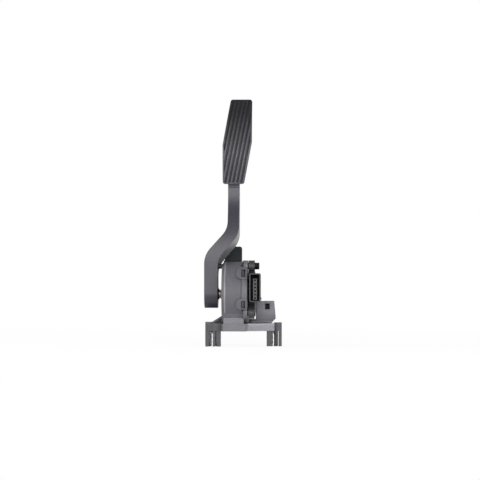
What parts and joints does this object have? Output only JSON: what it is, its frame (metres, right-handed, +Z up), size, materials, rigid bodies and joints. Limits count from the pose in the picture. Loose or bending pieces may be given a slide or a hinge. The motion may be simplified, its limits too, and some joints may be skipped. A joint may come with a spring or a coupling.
{
  "type": "accelerator pedal",
  "caption": "Moulded accelerator pedal with a ribbed six-sided tread, an S-bent arm, a sprung drum housing on three feet and a position sensor with its socket.",
  "frame": {"origin": "left mounting bolt's axis in the mounting plane, which is the feet's underside", "axes": "+Z up from the mounting plane to the pad, +X to the driver's right along the pivot, +Y away from the driver, the way the pad is pressed"},
  "size_m": [0.0939, 0.093, 0.2972],
  "materials": {
    "housing_plastic": "grained glass-filled moulding",
    "cover_plastic": "grained moulding",
    "arm_plastic": "fine grained glass-filled moulding",
    "pad_rubber": "moulded rubber, worn ridges",
    "bumper_rubber": "soft moulded rubber",
    "sensor_plastic": "moulded plastic",
    "insert_plastic": "smooth moulded plastic",
    "carrier_plastic": "natural moulded plastic",
    "bracket_plastic": "moulded plastic",
    "friction_lining": "pressed lining",
    "seal_rubber": "smooth rubber",
    "board": "coated circuit board",
    "steel": "drawn and turned steel",
    "black_steel": "black coated steel",
    "bronze": "sintered bronze",
    "contact_gold": "plated contacts"
  },
  "bodies": {
    "unit": {"base_plate": "housing_plastic", "circuit_board": "board", "cover_bush": "bronze", "drum_cover": "cover_plastic", "flanged_bush": "bronze", "housing": "housing_plastic", "inner_return_spring": "steel", "left_foot": "housing_plastic", "mount_sleeve_left": "steel", "mount_sleeve_rear": "steel", "mount_sleeve_right": "steel", "outer_return_spring": "steel", "rear_foot": "housing_plastic", "right_foot": "housing_plastic", "sensor_housing": "sensor_plastic", "sensor_lid": "sensor_plastic", "sensor_screws": "black_steel", "sensor_seal": "seal_rubber", "side_bracket": "bracket_plastic", "spring_anchor": "steel", "stop_bumper": "bumper_rubber", "terminal_block": "insert_plastic", "terminals": "contact_gold"},
    "pedal": {"pedal_arm": "arm_plastic", "pedal_pad": "pad_rubber", "pivot_shaft": "steel", "spring_carrier": "carrier_plastic", "shaft_clip": "steel", "friction_shoe": "friction_lining", "sensor_rotor": "sensor_plastic", "thrust_washer": "steel"}
  },
  "joints": [
    {"name": "pedal_hinge", "type": "hinge", "parent": "unit", "child": "pedal", "pos_m": [0, 0.01, 0.0626], "axis": [-1, 0, 0], "range_deg": [0, 15], "stiffness_Nm_per_rad": 3, "springref_deg": -34.38, "deforming": ["outer_return_spring", "inner_return_spring"]}
  ]
}
